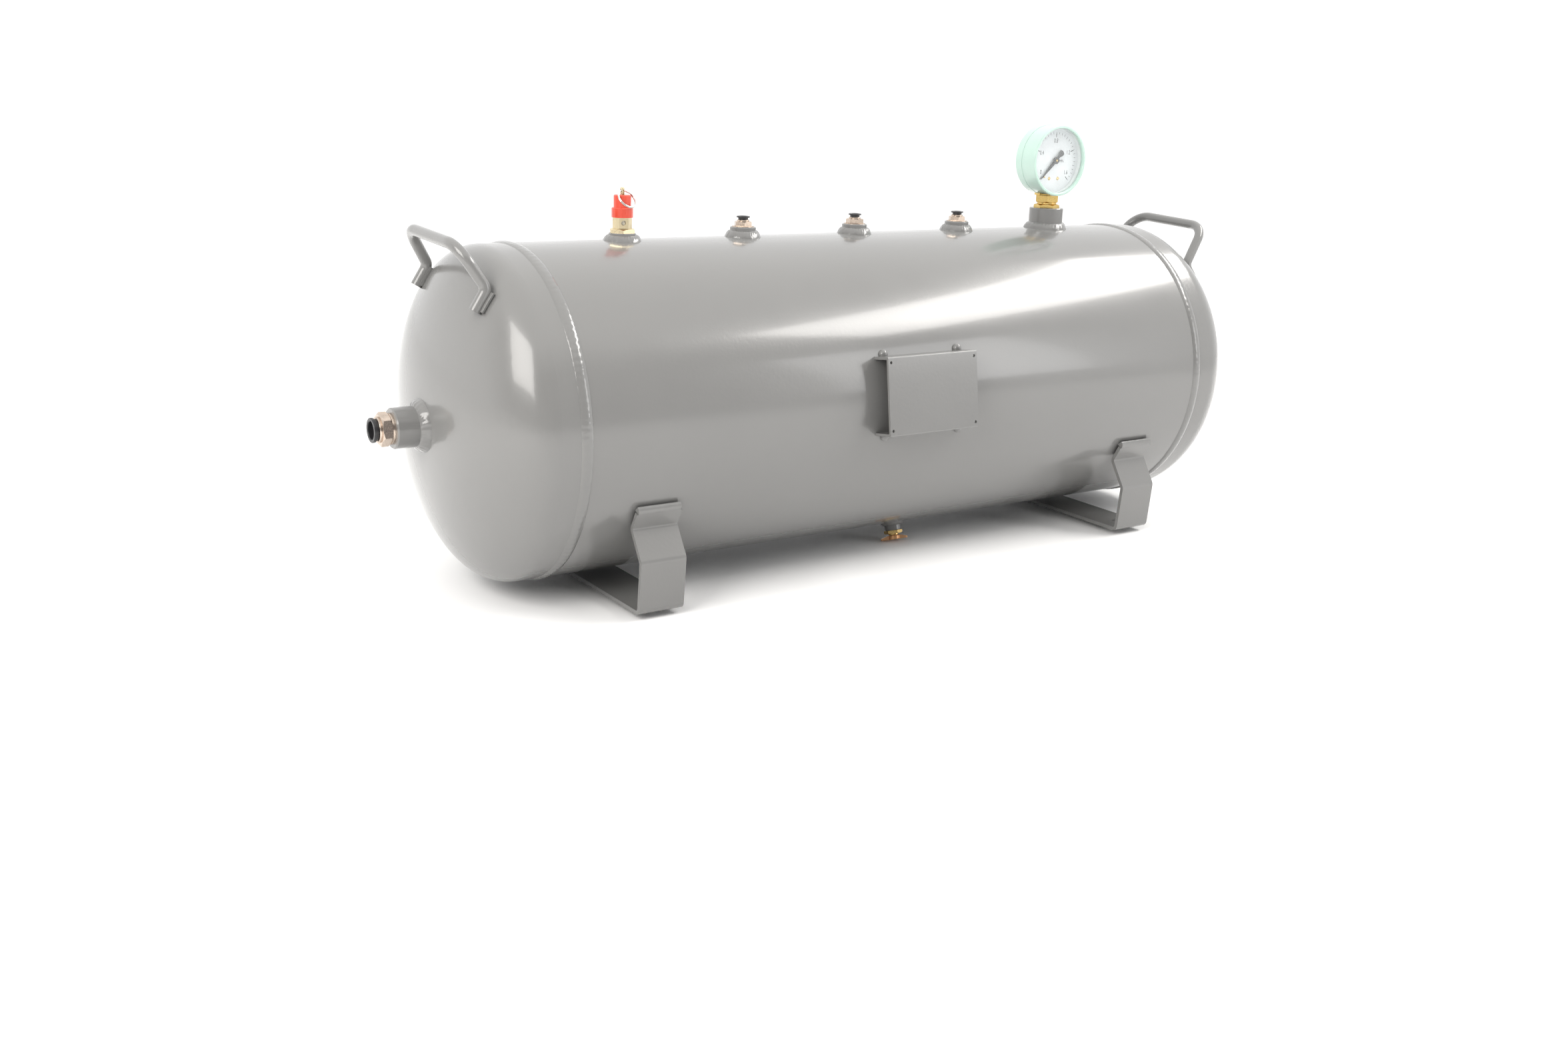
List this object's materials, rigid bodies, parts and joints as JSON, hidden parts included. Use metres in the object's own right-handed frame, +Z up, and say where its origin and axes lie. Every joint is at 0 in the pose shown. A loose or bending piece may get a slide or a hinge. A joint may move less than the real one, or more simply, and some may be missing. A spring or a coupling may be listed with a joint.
{
  "type": "air receiver tank",
  "caption": "Horizontal cylindrical air receiver on strap feet, with safety valve, push-in outlets, pressure gauge, end inlet, wing drain and bent-rod handles.",
  "frame": {"origin": "centre of the four foot bolt holes, on the underside of the feet", "axes": "+X along the tank towards the gauge end, +Y to the back (away from the nameplate bracket), +Z up"},
  "size_m": [0.7588, 0.2587, 0.3355],
  "materials": {
    "tank_enamel": "gloss enamel, light grey, slight orange peel",
    "weld_enamel": "gloss enamel over weld beads, light grey",
    "nickel_brass": "satin nickel-plated brass, warm",
    "pale_brass": "satin bare brass, pale",
    "yellow_brass": "machined brass",
    "copper_wing": "cast copper-brown alloy",
    "collar_black": "black acetal",
    "seal_rubber": "nitrile",
    "spring_steel": "bright spring steel",
    "ring_steel": "bright nickel-plated steel wire",
    "cap_red": "gloss orange-red lacquer",
    "poppet_white": "natural nylon",
    "case_green": "gloss mint-green enamel",
    "dial_white": "satin white, black printed scale",
    "spacer_white": "satin pale grey-white ring",
    "lens_clear": "clear, flat",
    "pointer_black": "satin black",
    "movement_brass": "stamped brass"
  },
  "bodies": {
    "tank": {"boss_welds": "weld_enamel", "bourdon_tube": "movement_brass", "bracket_welds": "weld_enamel", "dial_screws": "yellow_brass", "drain_body": "yellow_brass", "drain_boss": "tank_enamel", "foot_left": "tank_enamel", "foot_right": "tank_enamel", "foot_welds": "weld_enamel", "gauge_bezel": "case_green", "gauge_boss": "tank_enamel", "gauge_bushing": "pale_brass", "gauge_case": "case_green", "gauge_dial": "dial_white", "gauge_lens": "lens_clear", "gauge_seal_washer": "ring_steel", "gauge_socket": "pale_brass", "gauge_spacer": "spacer_white", "girth_welds": "weld_enamel", "handle_left": "tank_enamel", "handle_right": "tank_enamel", "handle_welds": "weld_enamel", "inlet_boss": "tank_enamel", "inlet_fitting_body": "nickel_brass", "inlet_grab_ring": "spring_steel", "inlet_tube_seal": "seal_rubber", "inlet_weld": "weld_enamel", "left_head": "tank_enamel", "movement_frame": "movement_brass", "nameplate_bracket": "tank_enamel", "outlet_bosses": "tank_enamel", "outlet_fitting_bodies": "nickel_brass", "right_head": "tank_enamel", "shell": "tank_enamel", "tube_grab_rings": "spring_steel", "tube_seals": "seal_rubber", "valve_body": "pale_brass", "valve_boss": "tank_enamel", "valve_cap": "cap_red", "valve_spring": "spring_steel", "zero_stop_pin": "yellow_brass"},
    "pointer_set": {"pointer_shaft": "movement_brass", "gauge_pointer": "pointer_black"},
    "sector": {"sector_gear": "movement_brass"},
    "link": {"gauge_link": "movement_brass"},
    "collar_1": {"release_collar_1": "collar_black"},
    "collar_2": {"release_collar_2": "collar_black"},
    "collar_3": {"release_collar_3": "collar_black"},
    "inlet_collar": {"inlet_release_collar": "collar_black"},
    "valve_plug": {"valve_seal": "seal_rubber", "valve_poppet": "poppet_white", "valve_stem": "pale_brass"},
    "ring": {"pull_ring": "ring_steel"},
    "drain_plug": {"drain_seat": "seal_rubber"},
    "wing": {"drain_wing": "copper_wing"}
  },
  "joints": [
    {"name": "pointer_turn", "type": "hinge", "parent": "tank", "child": "pointer_set", "pos_m": [0.2131, 0, 0.3022], "axis": [0, 1, 0], "range_deg": [0, 270], "stiffness_Nm_per_rad": 0.0002, "springref_deg": -17.19},
    {"name": "sector_turn", "type": "hinge", "parent": "tank", "child": "sector", "pos_m": [0.2201, 0, 0.29008], "axis": [0, 1, 0], "range_deg": [-45, 0]},
    {"name": "link_swing", "type": "hinge", "parent": "sector", "child": "link", "pos_m": [0.21923, 0, 0.28515], "axis": [0, 1, 0], "range_deg": [0, 45]},
    {"name": "outlet_collar_1_press", "type": "slide", "parent": "tank", "child": "collar_1", "axis": [0, 0, -1], "range_m": [0, 0.001], "stiffness_N_per_m": 60, "springref_m": -0.0005},
    {"name": "outlet_collar_2_press", "type": "slide", "parent": "tank", "child": "collar_2", "axis": [0, 0, -1], "range_m": [0, 0.001], "stiffness_N_per_m": 60, "springref_m": -0.0005},
    {"name": "outlet_collar_3_press", "type": "slide", "parent": "tank", "child": "collar_3", "axis": [0, 0, -1], "range_m": [0, 0.001], "stiffness_N_per_m": 60, "springref_m": -0.0005},
    {"name": "inlet_collar_press", "type": "slide", "parent": "tank", "child": "inlet_collar", "axis": [1, 0, 0], "range_m": [0, 0.0015], "stiffness_N_per_m": 100, "springref_m": -0.0006},
    {"name": "valve_lift", "type": "slide", "parent": "tank", "child": "valve_plug", "axis": [0, 0, 1], "range_m": [0, 0.0025], "stiffness_N_per_m": 400, "springref_m": -0.001, "deforming": ["valve_spring"]},
    {"name": "ring_swing", "type": "hinge", "parent": "valve_plug", "child": "ring", "pos_m": [-0.2, 0, 0.2805], "axis": [0.9511, 0.309, 0], "range_deg": [-280, 0]},
    {"name": "drain_travel", "type": "slide", "parent": "tank", "child": "drain_plug", "axis": [0, -0.309, -0.9511], "range_m": [0, 0.0015]},
    {"name": "wing_turn", "type": "hinge", "parent": "drain_plug", "child": "wing", "pos_m": [0.0323, 0, 0.1255], "axis": [0, -0.309, -0.9511], "range_deg": [0, 540]}
  ],
  "couplings": [
    {"joint": "sector_turn", "follows": "pointer_turn", "ratio": -0.16667},
    {"joint": "link_swing", "follows": "pointer_turn", "ratio": 0.16667},
    {"joint": "wing_turn", "follows": "drain_travel", "rad_per_m": 6283.2}
  ]
}
